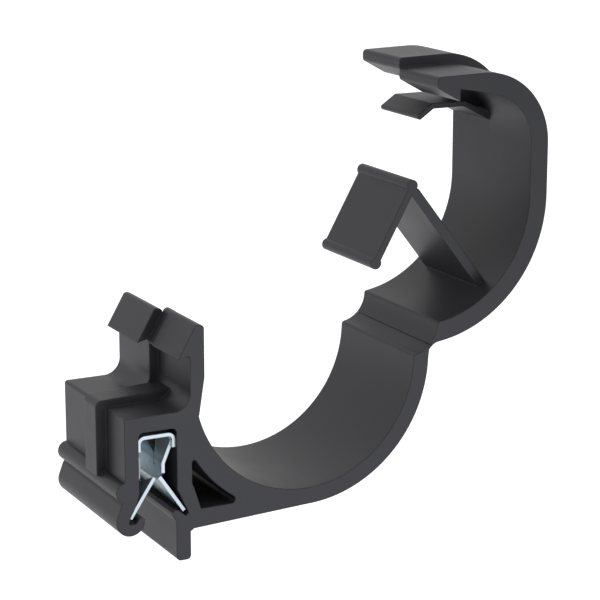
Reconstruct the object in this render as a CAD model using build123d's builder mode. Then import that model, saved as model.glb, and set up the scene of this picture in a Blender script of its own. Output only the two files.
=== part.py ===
"""Cable edge clip: a moulded clamp with a film hinge and a folded steel clip that grips a panel edge.

Frame: millimetres, +Z up. The origin is in the middle of the panel slot, in the middle of the width,
level with the foot of the bearing flange. The panel edge runs along Y and enters the slot upwards.
The clamp is drawn as it is moulded, standing open, with the arm on the film hinge at +X.
"""

import os

from build123d import *

os.makedirs("parts", exist_ok=True)

# Housing that sits over the panel edge
width = 15.0
cavity_w = 3.93
wall = 1.42
box_h = 14.87
roof = 1.55
flange_t = 1.48
flange_gap = 1.82
floor_h = 3.02

# Cable ring: the cradle and the closing arm share one bore radius
bore_r = 11.96
cradle_t = 1.68
arm_t = 2.0
arm_rise = 5.2
corner_r = 5.53

# Latch: two hooks with a tucked web between them, and a stepped jaw for each hook
near_w = 6.1
web_w = 1.4
hook_step = 0.92
jaw_step = 1.0
web_tuck = 0.15
stem_t = 1.47
hook_h = 8.3
barb = 1.24
hook_round = 0.42
jaw_reach = 5.44

# Film hinge: the web turns round a core of film_r inside a seat with film_gap round it
film_r = 0.15
film_gap = 0.04
cove_r = 2.90

# Leaf that presses on the cables, and the support finger
leaf_inset = 2.4
leaf_w = width - 2 * leaf_inset
leaf_t = 1.0
leaf_len = bore_r + 0.57 * arm_t
plate_t = 0.70
plate_len = 7.9
bead_r = 0.60
finger_t = 0.55
finger_len = 8.86
finger_rise = 3.30

# Strap over the housing
strap_w = 2.8
strap_t = 1.05
strap_fall = 0.33
jaw_round = 0.42

# Folded steel clip
steel_t = 0.35
steel_gap = 0.45
steel_inset = 0.3
tab_w = 0.4
tab_h = 1.5
leg_drop = 5.50
foot_len = 3.52
finger_w = 2.2
tooth = 1.0
tooth_w = 1.75

half = width / 2
cav = cavity_w / 2
steel_w = width - 2 * steel_inset
leg_w = steel_w - 2 * tab_w
x_left = -cav - wall
cavity_top = box_h - roof
wall_right = cav + 1.53
stem_x = wall_right - 0.05
stem_back = stem_x + stem_t
ring_x = stem_back + bore_r - 1.02
ring_z = floor_h + bore_r + cradle_t + 0.50
out_r = bore_r + cradle_t
near_b = -half + near_w
far_a = near_b + web_w


def at(y):
    """Profile plane at the given y, with the sketch x along +X and its y along +Z."""
    return Plane(origin=(0, y, 0), x_dir=(1, 0, 0), z_dir=(0, -1, 0))


# Film hinge: centre of the cove, hinge axis, and the directions across and along the web
cove_x = ring_x + bore_r - 0.20
cove_z = ring_z + 2.92
reach = cove_r + film_r
across = Vector(0.676, -0.737).normalized()
along = Vector(-across.Y, across.X)
film = Vector(cove_x, cove_z) + across * reach
seat_r = film_r + film_gap


def web(a, b):
    """Point a along the web from the hinge axis and b across it."""
    p = film + along * a + across * b
    return (p.X, p.Y)


# Clamp base: housing, flange, cradle, hooks and strap in one moulding
foot_r = flange_gap + flange_t
top_bead = (x_left + 0.06, box_h - 7.20)
curl = (x_left + 0.51, box_h - 10.10)
lip = (x_left + 1.60, box_h - 10.23)
groove = (cav + 0.86, box_h - 10.18)
kerb = (cav - 0.30, box_h - 9.94)
with BuildPart() as clamp_base:
    with BuildSketch(at(half)) as section:
        with BuildLine():
            Polyline(
                (x_left, box_h),
                (ring_x, box_h),
                (ring_x, ring_z - out_r),
                (foot_r + 0.35, floor_h),
                (foot_r, floor_h - 0.25),
                (foot_r, 0),
                (flange_gap, 0),
                (flange_gap, kerb[1] - 0.95),
                (kerb[0] - 0.22, kerb[1] - 0.40),
                (kerb[0] - 0.24, kerb[1]),
                (kerb[0], kerb[1] + 0.24),
                (kerb[0] + 0.36, kerb[1] + 0.18),
                (groove[0] - 0.27, groove[1] - 0.05),
                (groove[0], groove[1] - 0.27),
                (groove[0] + 0.28, groove[1]),
                (cav + 1.01, box_h - 9.77),
                (cav + 0.68, box_h - 9.16),
                (cav + 0.32, box_h - 8.29),
                (cav, box_h - 7.68),
                (cav, cavity_top),
                (-cav, cavity_top),
                (-cav, box_h - 7.54),
                (-cav - 0.20, box_h - 8.22),
                (-cav - 0.51, box_h - 8.97),
                (-cav - 0.84, box_h - 9.58),
                (-cav - 1.08, box_h - 10.03),
                (-cav - 1.12, box_h - 10.30),
                (-cav - 0.86, box_h - 10.60),
                (-cav - 0.58, box_h - 10.61),
                (lip[0] - 0.33, lip[1] + 0.05),
                (lip[0] + 0.24, lip[1] - 0.72),
                (curl[0], curl[1] - 1.47),
                (curl[0] - 1.36, curl[1] + 0.55),
                (x_left - 0.44, box_h - 8.45),
                (x_left, box_h - 7.80),
                close=True,
            )
        make_face()
        fillet(section.vertices().group_by(Axis.Y)[0], 0.42)
        fillet(section.vertices().sort_by_distance((0, cavity_top))[0:2], 0.5)
        with Locations(top_bead):
            Circle(0.98)
        with Locations(lip):
            Circle(0.36)
        with BuildSketch(at(half), mode=Mode.PRIVATE) as curled:
            with Locations(curl):
                Circle(1.47)
            with Locations((curl[0] + 1.0, curl[1] + 0.9)):
                Rectangle(2.45, 2.5, mode=Mode.SUBTRACT)
        add(curled.sketch)
        with BuildLine():
            sweep_out = CenterArc((ring_x, ring_z), out_r, 270, 88)
            rise = Line(sweep_out @ 1, (ring_x + out_r + 0.08, film.Y - 0.40))
            notch = Spline(rise @ 1, web(0, film_r), tangents=[(0.05, 1), (along.X, along.Y)])
            Polyline(notch @ 1, web(0, -film_r), (cove_x, cove_z), (ring_x, ring_z), sweep_out @ 0)
        make_face()
        with Locations((ring_x, ring_z)):
            Circle(bore_r, mode=Mode.SUBTRACT)
        with Locations((cove_x, cove_z)):
            Circle(cove_r, mode=Mode.SUBTRACT)
        fillet(section.vertices().sort_by_distance((ring_x + bore_r, ring_z))[0], 0.35)
        with Locations((film.X, film.Y)):
            Circle(film_r)
    extrude(amount=width)

    # near hook, the web tucked in beside it, and far hook: stem, root fillet and barb
    for y0, y1, step, taper, tuck in (
        (-half, near_b, 0, 0.59, 0),
        (near_b, far_a, 0, 0.59, web_tuck),
        (far_a, half, hook_step, 0, 0),
    ):
        x0 = stem_x - step
        with BuildSketch(at(y1)) as hook:
            with BuildLine():
                root = RadiusArc((x0 - 1.7, box_h), (x0, box_h + 1.7), -1.7)
                Polyline(
                    root @ 1,
                    (x0, box_h + hook_h - 2.94),
                    (x0 - barb + tuck, box_h + hook_h - 3.27),
                    (x0 + 0.68 + tuck, box_h + hook_h + 0.03),
                    (x0 + stem_t, box_h + hook_h - 0.22),
                    (x0 + stem_t, box_h + 3.04),
                    (x0 + stem_t - taper, box_h - 0.67),
                    (x0 - 1.7, box_h - 0.67),
                    root @ 0,
                )
            make_face()
            fillet(hook.vertices().sort_by_distance((x0, box_h + hook_h - 2.94))[0], 0.28)
            fillet(hook.vertices().sort_by_distance((x0 + stem_t, box_h + hook_h))[0], hook_round)
            fillet(hook.vertices().group_by(Axis.Y)[-1], hook_round)
        extrude(amount=y1 - y0)

    # strap down the left wall and over the roof
    with BuildSketch(at(near_b + 1.14)) as strap:
        with BuildLine():
            Polyline(
                (x_left - strap_t, top_bead[1] + 0.53),
                (x_left - strap_t, box_h + strap_t - strap_fall),
                (stem_x - hook_step + 0.9, box_h + strap_t),
                (stem_x - hook_step + 0.9, box_h - 0.5),
                (x_left + 0.5, box_h - 0.5),
                (x_left + 0.5, top_bead[1] + 0.53),
                close=True,
            )
        make_face()
        fillet(strap.vertices().sort_by_distance((x_left - strap_t, box_h + strap_t))[0], 0.7)
    extrude(amount=strap_w)

    # triangular window between the housing and the cradle
    with BuildSketch(at(half)) as window:
        with BuildLine():
            Polyline(
                (wall_right, ring_z - 5.5),
                (wall_right, box_h - 7.27),
                (wall_right + 0.28, box_h - 7.99),
                (wall_right + 0.91, floor_h + 1.87),
                (ring_x, floor_h + 1.87),
                (ring_x, ring_z - 5.5),
                close=True,
            )
        make_face()
        with Locations((ring_x, ring_z)):
            Circle(out_r + 0.38, mode=Mode.SUBTRACT)
        fillet(window.vertices().group_by(Axis.Y)[-1], 0.25)
        fillet(window.vertices().sort_by(Axis.X)[-1], 0.4)
    extrude(amount=width, mode=Mode.SUBTRACT)

    fillet(clamp_base.edges().filter_by(Axis.Y).sort_by_distance((x_left, 0, box_h))[0:2], 0.3)
clamp_base.part.label = "clamp_base"

# Closing arm: moulded in line with the base and joined to it by the film
arm_c = film + Vector(-0.046, 1.1906) * bore_r
arm_in = bore_r
arm_out = arm_in + arm_t
corner_x = arm_c.X + arm_in - corner_r
leaf_x = arm_c.X + 0.15
leaf_z = arm_c.Y + 0.85
finger_z = arm_c.Y + arm_rise + finger_rise
inner_face = arm_c.X + arm_in
with BuildPart() as closing_arm:
    for y0, y1, step in ((-half, far_a, 0), (far_a, half, jaw_step)):
        corner_z = arm_c.Y + arm_rise + step
        top = corner_z + corner_r + arm_t
        jaw_x = corner_x - jaw_reach
        with BuildSketch(at(y1)) as band:
            with BuildLine():
                start = Line(web(0, -film_r), web(0, film_r))
                tail = Line(start @ 1, web(0.30, film_r))
                low = CenterArc((arm_c.X, arm_c.Y), arm_out, -81, 81)
                merge = Spline(tail @ 1, low @ 0, tangents=[(along.X, along.Y), low % 0])
                side = Line(low @ 1, (corner_x + corner_r + arm_t, corner_z))
                bend = CenterArc((corner_x, corner_z), corner_r + arm_t, 0, 90)
                jaw = Polyline(
                    bend @ 1,
                    (jaw_x + 0.02, top - 0.10),
                    (jaw_x + 0.02, top - 1.20),
                    (jaw_x + 2.59, top - 2.63),
                    (jaw_x + 2.54, top - 1.42),
                )
                inner = CenterArc((corner_x, corner_z), corner_r, 0, 82)
                Line(jaw @ 1, inner @ 1)
                reveal = Line(inner @ 0, (inner_face, arm_c.Y))
                bore = CenterArc((arm_c.X, arm_c.Y), arm_in, -84, 84)
                Polyline(bore @ 0, (cove_x + 1.5, cove_z - 0.25), web(0, -film_r))
            make_face()
            with Locations((cove_x, cove_z)):
                Circle(cove_r, mode=Mode.SUBTRACT)
            with Locations((film.X, film.Y)):
                Circle(seat_r, mode=Mode.SUBTRACT)
            fillet(band.vertices().sort_by_distance((jaw_x, top - 0.1))[0], jaw_round)
            fillet(band.vertices().sort_by_distance((jaw_x, top - 1.2))[0], jaw_round)
            fillet(band.vertices().sort_by_distance(bore @ 0)[0:2], 0.3)
        extrude(amount=y1 - y0)

    # support finger under the far jaw
    with BuildSketch(at(half)) as finger:
        with BuildLine():
            Polyline(
                (inner_face + 0.6, finger_z - 1.05),
                (inner_face - 0.45, finger_z - 0.84),
                (inner_face - 0.18 * finger_len, finger_z - 0.52),
                (inner_face - 0.36 * finger_len, finger_z + 0.25),
                (inner_face - 0.80 * finger_len, finger_z + 0.28),
                (inner_face - finger_len, finger_z - 0.92),
                (inner_face - finger_len + 0.563 * finger_t, finger_z - 0.92 - 0.826 * finger_t),
                (inner_face - 0.80 * finger_len + 0.31 * finger_t, finger_z + 0.28 - finger_t),
                (inner_face - 0.38 * finger_len, finger_z + 0.28 - finger_t),
                (inner_face + 0.6, finger_z - 1.75 - finger_t),
                close=True,
            )
        make_face()
        fillet(finger.vertices().sort_by(Axis.X)[0:2], 0.24)
    extrude(amount=half - far_a)

    # leaf: a sloping arm with a flat plate folded back and beaded at both ends
    back = Vector(0.614, -0.789)
    back_in = Vector(-0.789, -0.614) * leaf_t
    back_top = Vector(leaf_x + 0.25, leaf_z + 0.45)
    fold = Vector(-0.491, -0.871)
    fold_in = Vector(0.871, -0.491) * plate_t
    plate_top = Vector(leaf_x - 0.79, leaf_z + 0.70)
    with BuildSketch(at(leaf_w / 2)) as leaf:
        with BuildLine():
            Polyline(
                back_top,
                back_top + back * leaf_len,
                back_top + back_in + back * leaf_len,
                back_top + back_in,
                close=True,
            )
        make_face()
        with BuildLine():
            Polyline(
                plate_top,
                plate_top + fold * plate_len,
                plate_top + fold_in + fold * plate_len,
                plate_top + fold_in,
                close=True,
            )
        make_face()
        with Locations((leaf_x - 0.45, leaf_z + 0.80), plate_top + fold_in * 0.5 + fold * (plate_len + 0.3)):
            Circle(bead_r)
        with Locations((leaf_x - 0.30, leaf_z + 0.35)):
            Circle(0.45)
    extrude(amount=leaf_w)
closing_arm.part.label = "closing_arm"

# Folded steel clip: bridge and flanges on the cavity walls, two legs folded in and flared out
bridge_z = cavity_top - steel_gap
leg_x = cav - 1.15
fold_z = cavity_top - leg_drop
knee_z = fold_z + 1.95
shoulder_z = bridge_z - 0.85
lean = 0.672
with BuildPart() as steel_spring_clip:
    with BuildSketch(at(steel_w / 2)) as bridge:
        with Locations((0, bridge_z)):
            Rectangle(cavity_w, tab_h, align=(Align.CENTER, Align.MAX))
        fillet(bridge.vertices().group_by(Axis.Y)[-1], 0.8)
        with BuildSketch(at(steel_w / 2), mode=Mode.PRIVATE) as inside:
            with Locations((0, bridge_z - steel_t)):
                Rectangle(cavity_w - 2 * steel_t, tab_h, align=(Align.CENTER, Align.MAX))
            fillet(inside.vertices().group_by(Axis.Y)[-1], 0.4)
        add(inside.sketch, mode=Mode.SUBTRACT)
    extrude(amount=steel_w)
    # the flanges are cut back between the end tabs, where the legs are folded out of them
    with Locations((0, 0, bridge_z - 0.9)):
        Box(cavity_w, leg_w, 2.0, align=(Align.CENTER, Align.CENTER, Align.MAX), mode=Mode.SUBTRACT)
    for side in (1, -1):
        with BuildSketch(at(leg_w / 2)) as leg:
            with BuildLine():
                Polyline(
                    (side * (cav - steel_t / 2), bridge_z - 0.6),
                    (side * (cav - steel_t / 2), shoulder_z),
                    (side * leg_x, knee_z),
                    (side * leg_x, fold_z),
                )
            trace(line_width=steel_t)
        extrude(amount=leg_w)
    # window that leaves two fingers and the centre plate of each leg, and the room left by the teeth
    with BuildSketch(Plane.YZ.offset(-cav)) as leg_gap:
        with BuildLine():
            Polyline(
                (leg_w / 2 - 3.50, bridge_z - steel_t),
                (leg_w / 2 - 1.50, fold_z + 1.55),
                (leg_w / 2 - 1.80, fold_z + 1.25),
                (leg_w / 2 - 2.17, fold_z + 2.40),
                (leg_w / 2 - 4.34, fold_z + 2.95),
                (-leg_w / 2 + 4.34, fold_z + 2.95),
                (-leg_w / 2 + 2.17, fold_z + 2.40),
                (-leg_w / 2 + 1.80, fold_z + 1.25),
                (-leg_w / 2 + 1.50, fold_z + 1.55),
                (-leg_w / 2 + 3.50, bridge_z - steel_t),
                close=True,
            )
        make_face()
        for end in (1, -1):
            with BuildLine():
                Polyline(
                    (end * leg_w / 2, fold_z - 0.3),
                    (end * leg_w / 2, fold_z + tooth),
                    (end * (leg_w / 2 - tooth_w), fold_z - 0.3),
                    close=True,
                )
            make_face()
    extrude(amount=cavity_w, mode=Mode.SUBTRACT)
    # each leg keeps the finger at one end only, so the two legs are the same blank turned round
    for turn in (1, -1):
        with Locations((turn * cav / 2, turn * (leg_w - finger_w) / 2, bridge_z - 0.9)):
            Box(cav, finger_w, 8.0, align=(Align.CENTER, Align.CENTER, Align.MAX), mode=Mode.SUBTRACT)
    # flared feet with a biting tooth at each end, each drawn on its own sloping plane
    for side in (1, -1):
        down = Vector(side * lean, 0, -1).normalized()
        slope = Plane(origin=(side * leg_x, 0, fold_z), x_dir=(0, 1, 0), z_dir=Vector(0, 1, 0).cross(-down))
        with BuildSketch(slope) as flare:
            with BuildLine():
                Polyline(
                    (-steel_w / 2, -foot_len),
                    (steel_w / 2, -foot_len),
                    (steel_w / 2, tooth),
                    (steel_w / 2 - tooth_w, 0),
                    (-steel_w / 2 + tooth_w, 0),
                    (-steel_w / 2, tooth),
                    close=True,
                )
            make_face()
        extrude(amount=steel_t / 2, both=True)
steel_spring_clip.part.label = "steel_spring_clip"
export_step(clamp_base.part, "parts/clamp_base.step")
export_step(closing_arm.part, "parts/closing_arm.step")
export_step(steel_spring_clip.part, "parts/steel_spring_clip.step")
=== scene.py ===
import math

import bpy
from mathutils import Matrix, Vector

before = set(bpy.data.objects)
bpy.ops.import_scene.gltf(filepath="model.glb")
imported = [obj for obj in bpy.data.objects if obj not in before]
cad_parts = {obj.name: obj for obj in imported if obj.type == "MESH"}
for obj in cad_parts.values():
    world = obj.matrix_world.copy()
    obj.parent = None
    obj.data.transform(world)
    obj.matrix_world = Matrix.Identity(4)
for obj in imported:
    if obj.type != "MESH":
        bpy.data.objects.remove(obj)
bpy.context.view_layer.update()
bpy.context.scene.view_settings.view_transform = "Standard"


# The moulded clamp: base and closing arm are one shot of black glass-filled nylon.
# It leaves the tool with a fine satin grain, faint flow clouding near the gates,
# and slightly polished corners where the two mould halves meet.
class Socket:
    """A shader socket that adds Math nodes when it is used in an expression."""

    def __init__(self, finish, link):
        self.finish = finish
        self.link = link

    def math(self, operation, *others):
        inputs = dict(enumerate((self, *others)))
        return self.finish.add("ShaderNodeMath", {"operation": operation}, inputs)

    def __add__(self, other):
        return self.math("ADD", other)

    def __mul__(self, other):
        return self.math("MULTIPLY", other)

    __radd__ = __add__
    __rmul__ = __mul__


class Finish:
    """One material or world and the nodes that make it."""

    def __init__(self, block, shader="Principled BSDF"):
        self.block = block
        self.block.use_nodes = True
        self.nodes = self.block.node_tree.nodes
        self.links = self.block.node_tree.links
        self.shader = self.nodes[shader]

    def feed(self, node, inputs):
        """Gives a node's sockets their values or links."""
        for key, value in inputs.items():
            if isinstance(value, Socket):
                self.links.new(value.link, node.inputs[key])
            else:
                node.inputs[key].default_value = value

    def add(self, kind, settings=None, inputs=None, output=0):
        """Adds a node with its settings and its sockets' values, and returns one output."""
        node = self.nodes.new(kind)
        for key, value in (settings or {}).items():
            if key == "stops":
                for element, (place, colour) in zip(node.color_ramp.elements, value):
                    element.position = place
                    element.color = colour
            else:
                setattr(node, key, value)
        self.feed(node, inputs or {})
        return Socket(self, node.outputs[output])

    def surface(self, **inputs):
        """Sets the shader's own sockets to values or links."""
        self.feed(self.shader, {key.replace("_", " "): value for key, value in inputs.items()})


def dress(node, finish):
    """Gives a CAD node its material."""
    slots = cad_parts[node].data.materials
    slots.clear()
    slots.append(finish.block)


nylon = Finish(bpy.data.materials.new("black_nylon"))
place = nylon.add("ShaderNodeTexCoord", output="Object")
grain = nylon.add(
    "ShaderNodeTexNoise",
    inputs={"Vector": place, "Scale": 5200.0, "Detail": 3.0, "Roughness": 0.6},
)
cloud = nylon.add(
    "ShaderNodeTexNoise",
    inputs={"Vector": place, "Scale": 160.0, "Detail": 4.0, "Roughness": 0.55},
)
flow = nylon.add(
    "ShaderNodeTexNoise",
    inputs={"Vector": place, "Scale": 620.0, "Detail": 5.0, "Roughness": 0.65},
)
deep_black = (0.0200, 0.0200, 0.0225, 1.0)
clouded_black = (0.0255, 0.0255, 0.0285, 1.0)
tone = nylon.add(
    "ShaderNodeValToRGB",
    {"stops": ((0.30, deep_black), (0.70, clouded_black))},
    {"Fac": cloud * 0.6 + flow * 0.4},
)
corner_radius = 0.00016
grain_depth = 0.00002
corners = nylon.add("ShaderNodeBevel", {"samples": 6}, {"Radius": corner_radius})
skin = nylon.add(
    "ShaderNodeBump",
    inputs={
        "Strength": 0.22,
        "Distance": grain_depth,
        "Height": grain * 0.8 + flow * 0.5,
        "Normal": corners,
    },
)
nylon.surface(
    Base_Color=tone,
    Roughness=0.38 + 0.10 * cloud + 0.05 * flow,
    Specular_IOR_Level=0.3,
    Normal=skin,
)
dress("clamp_base", nylon)
dress("closing_arm", nylon)


# The spring clip: one strip of hardened steel, blanked, folded and zinc plated.
# Fine rolling lines run along the strip, the plating is a cool pale grey, and the sheared
# edges, which face the clip's two ends, are duller and darker than the rolled faces; part of
# that darkness is painted shade that tones down the front box's glare on them.
zinc = Finish(bpy.data.materials.new("plated_spring_steel"))
place = zinc.add("ShaderNodeTexCoord", output="Object")
lines_per_metre = (9000.0, 260.0, 9000.0)
drawn_out = zinc.add("ShaderNodeMapping", inputs={"Vector": place, "Scale": lines_per_metre})
lines = zinc.add(
    "ShaderNodeTexNoise",
    inputs={"Vector": drawn_out, "Scale": 1.0, "Detail": 3.0, "Roughness": 0.6},
)
mottle = zinc.add(
    "ShaderNodeTexNoise",
    inputs={"Vector": place, "Scale": 900.0, "Detail": 4.0, "Roughness": 0.6},
)
dark_plate = (0.50, 0.59, 0.64, 1.0)
bright_plate = (0.60, 0.69, 0.73, 1.0)
plate = zinc.add(
    "ShaderNodeValToRGB",
    {"stops": ((0.25, dark_plate), (0.75, bright_plate))},
    {"Fac": lines * 0.4 + mottle * 0.6},
)
# Faces that look along the clip's length, its sheared edges, get a darker colour: partly duller
# cut steel, partly painted shade against the front box's reflection.
facing = zinc.add("ShaderNodeTexCoord", output="Normal")
endways = zinc.add("ShaderNodeSeparateXYZ", inputs={"Vector": facing}, output="Y")
sheared_and_shaded = zinc.add(
    "ShaderNodeMapRange",
    inputs={"Value": endways.math("ABSOLUTE"), "From Min": 0.80, "From Max": 0.95},
)
# Darker steel for those faces: partly the cut steel's own dullness, partly painted shade.
sheared_and_shaded_steel = (0.36, 0.41, 0.42, 1.0)
# A Mix node keeps its two colours on sockets 6 and 7 and their mix on output 2.
metal = zinc.add(
    "ShaderNodeMix",
    {"data_type": "RGBA"},
    {0: sheared_and_shaded, 6: plate, 7: sheared_and_shaded_steel},
    output=2,
)
fold_radius = 0.00005
line_depth = 0.00001
folds = zinc.add("ShaderNodeBevel", {"samples": 6}, {"Radius": fold_radius})
rolled = zinc.add(
    "ShaderNodeBump",
    inputs={"Strength": 0.20, "Distance": line_depth, "Height": lines, "Normal": folds},
)
zinc.surface(
    Base_Color=metal,
    Metallic=0.75,
    Roughness=0.20 + 0.10 * mottle + 0.14 * sheared_and_shaded,
    Normal=rolled,
)
dress("steel_spring_clip", zinc)


# The table: a plain pale board well below the clip. The camera sees it as pure white, and so
# does the gloss of the plastic and the steel, while the clip only gets its plain diffuse light.
def background_rays(finish):
    """Returns 1 on the rays that see the white background and 0 on diffuse light."""
    rays = ("Is Camera Ray", "Is Glossy Ray", "Is Transmission Ray")
    return sum(finish.add("ShaderNodeLightPath", output=ray) for ray in rays)


black = (0.0, 0.0, 0.0, 1.0)
white = (1.0, 1.0, 1.0, 1.0)
board_grey = (0.31, 0.31, 0.31, 1.0)
board_side = 8.0
board_level = -0.10
bpy.ops.object.select_all(action="DESELECT")
bpy.ops.mesh.primitive_plane_add(size=board_side, location=(0.0, 0.0, board_level))
board = bpy.context.object
board.name = "white_board"
paper = Finish(bpy.data.materials.new("white_paper"))
fibre = paper.add("ShaderNodeTexNoise", inputs={"Scale": 40.0, "Detail": 2.0})
paper.surface(
    Base_Color=board_grey,
    Roughness=0.75 + 0.1 * fibre,
    Specular_IOR_Level=0.1,
    Emission_Color=paper.add(
        "ShaderNodeMix",
        {"data_type": "RGBA"},
        {0: background_rays(paper), 6: black, 7: white},
        output=2,
    ),
    Emission_Strength=1.0,
)
# The board's white is not a lamp, so it isn't sampled as one.
paper.block.cycles.emission_sampling = "NONE"
board.data.materials.append(paper.block)


# The light: an even white studio that is pure white where it is seen, and dimmer and cooler
# where it lights, with one soft box in front of the clip that shines up from just below it.
studio_level = 0.75
cool_white = (0.95, 0.965, 1.06, 1.0)
room = Finish(bpy.data.worlds.new("white_studio"), "Background")
room.block.cycles.sampling_method = "NONE"
bpy.context.scene.world = room.block
background = background_rays(room)
# For plain numbers the Mix node's sockets are 2 and 3.
room.surface(
    Color=room.add(
        "ShaderNodeMix",
        {"data_type": "RGBA"},
        {0: background, 6: cool_white, 7: white},
        output=2,
    ),
    Strength=room.add(
        "ShaderNodeMix",
        {"data_type": "FLOAT"},
        {0: background, 2: studio_level, 3: 1.0},
    ),
)
clip_middle = Vector((0.019, 0.0, 0.023))
box_bearing = math.radians(169.0)
box_height = math.radians(-16.5)
box_distance = 0.18
box_level = 3.4
lamp = bpy.data.lights.new("front_box", "AREA")
lamp.shape = "RECTANGLE"
lamp.size = 0.15
lamp.size_y = 0.05
lamp.energy = box_level * math.pi * lamp.size * lamp.size_y
lamp.color = cool_white[:3]
front_box = bpy.data.objects.new("front_box", lamp)
bpy.context.scene.collection.objects.link(front_box)
towards_box = Vector((
    math.sin(box_bearing) * math.cos(box_height),
    math.cos(box_bearing) * math.cos(box_height),
    math.sin(box_height),
))
front_box.location = clip_middle + towards_box * box_distance
front_box.rotation_mode = "QUATERNION"
front_box.rotation_quaternion = (-towards_box).to_track_quat("-Z", "Y")
front_box.visible_camera = False


# The camera: the photograph's own viewpoint, worked out from the clip's edges, a little
# above the clip and off to its left, with a long lens.
camera_rise = 13.99
camera_turn = -27.48
lens = bpy.data.cameras.new("camera")
lens.lens = 129.46
lens.sensor_width = 36.0
lens.clip_start = 0.01
camera = bpy.data.objects.new("camera", lens)
camera.location = (-0.07747, -0.18543, 0.07422)
camera.rotation_euler = (math.radians(90.0 - camera_rise), 0.0, math.radians(camera_turn))
bpy.context.scene.collection.objects.link(camera)
bpy.context.scene.camera = camera
